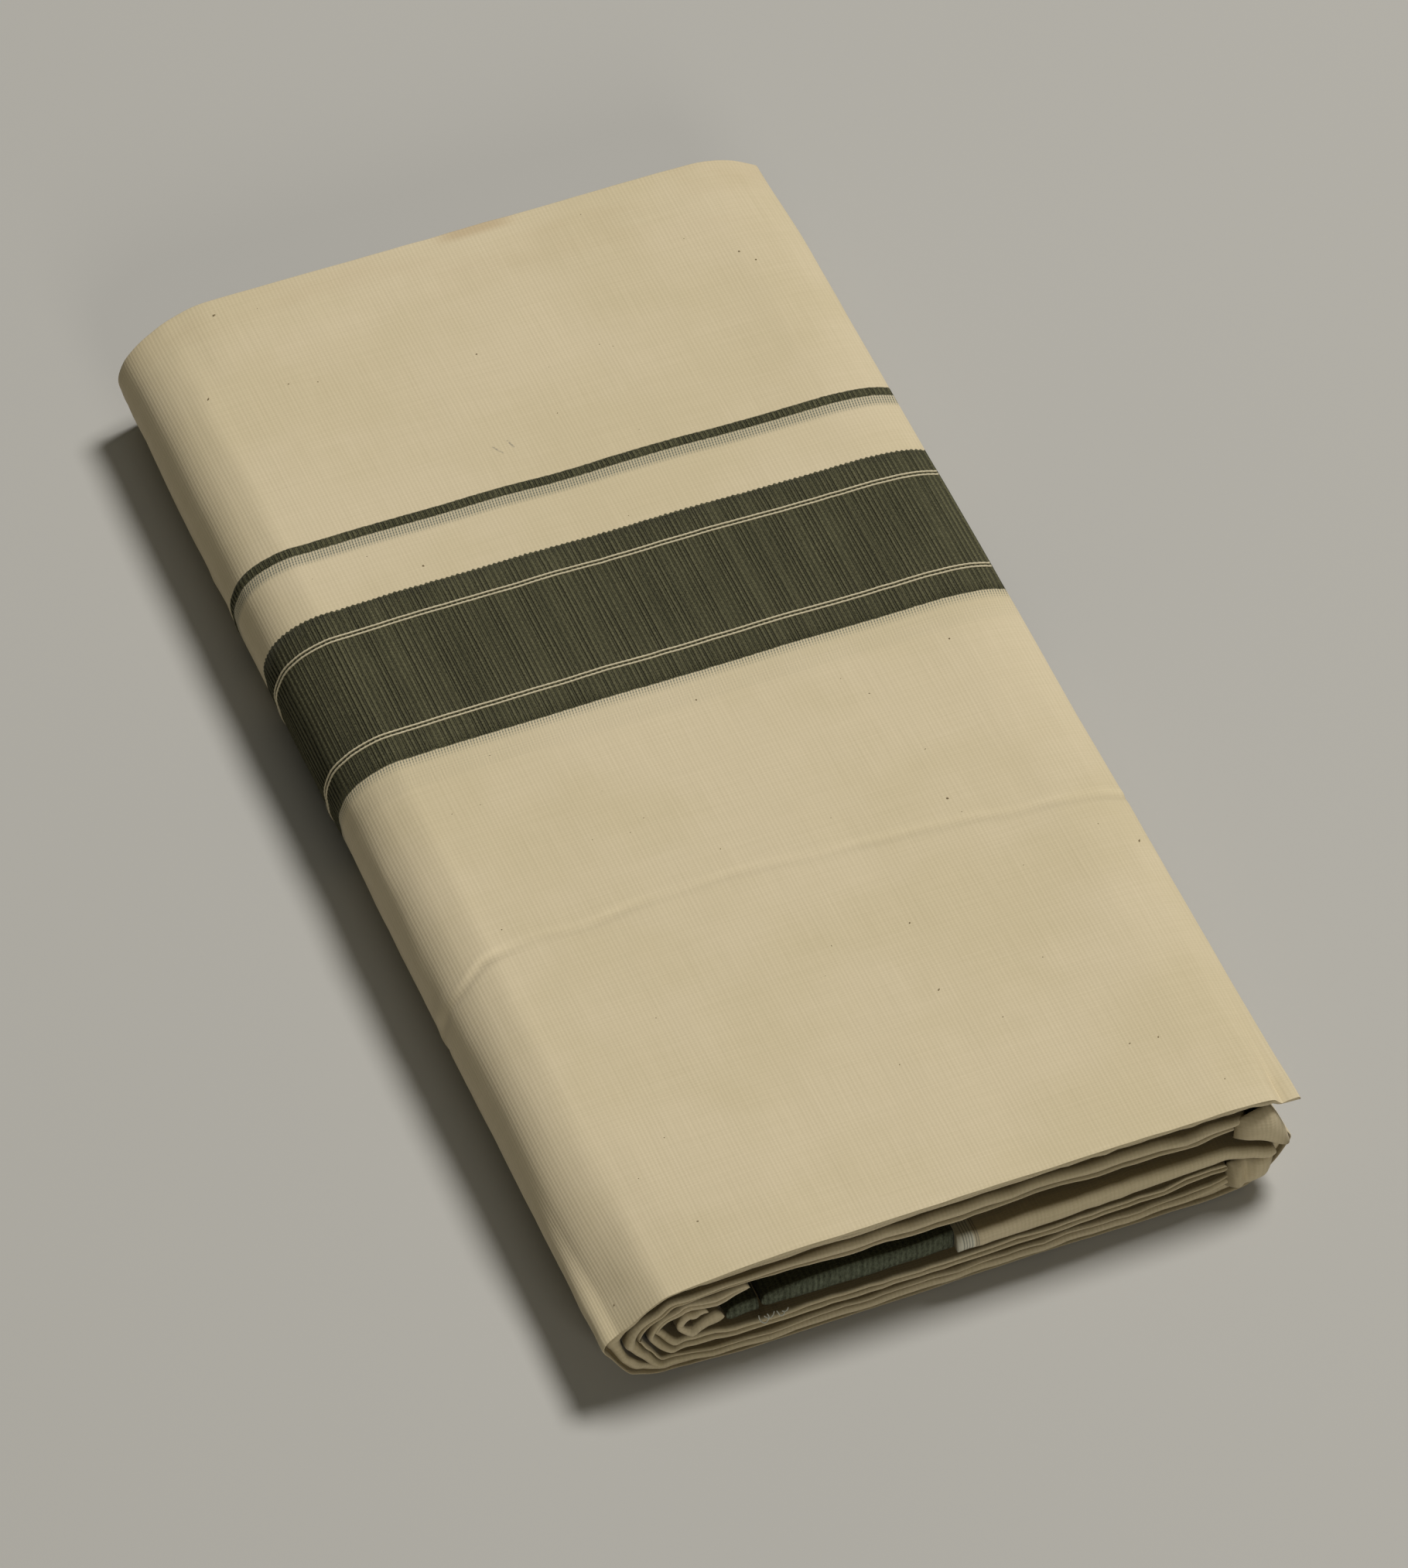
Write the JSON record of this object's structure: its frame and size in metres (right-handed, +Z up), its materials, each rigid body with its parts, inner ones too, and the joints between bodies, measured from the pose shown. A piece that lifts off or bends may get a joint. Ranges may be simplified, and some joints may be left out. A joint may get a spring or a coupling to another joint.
{
  "type": "folded dhoti cloth",
  "caption": "Long cotton dhoti cloth folded into a flat packet, a folded edge on its left, with woven dark border bands across it.",
  "frame": {"origin": "middle of the underside, on the surface that the packet lies on", "axes": "+Y along the packet to its far end, +X to the right, away from the folded edge, +Z up"},
  "size_m": [0.1664, 0.32, 0.0315],
  "materials": {
    "ecru_cotton": "matt plain-weave cotton",
    "border_cotton": "matt ribbed cotton"
  },
  "bodies": {
    "root": {"outer_turn": "ecru_cotton", "flap_lining": "ecru_cotton", "second_turn": "ecru_cotton", "third_turn": "ecru_cotton", "inner_roll": "ecru_cotton", "border_end_inner": "border_cotton", "border_end": "border_cotton", "inner_turn": "ecru_cotton", "hidden_layers": "ecru_cotton"}
  },
  "joints": []
}
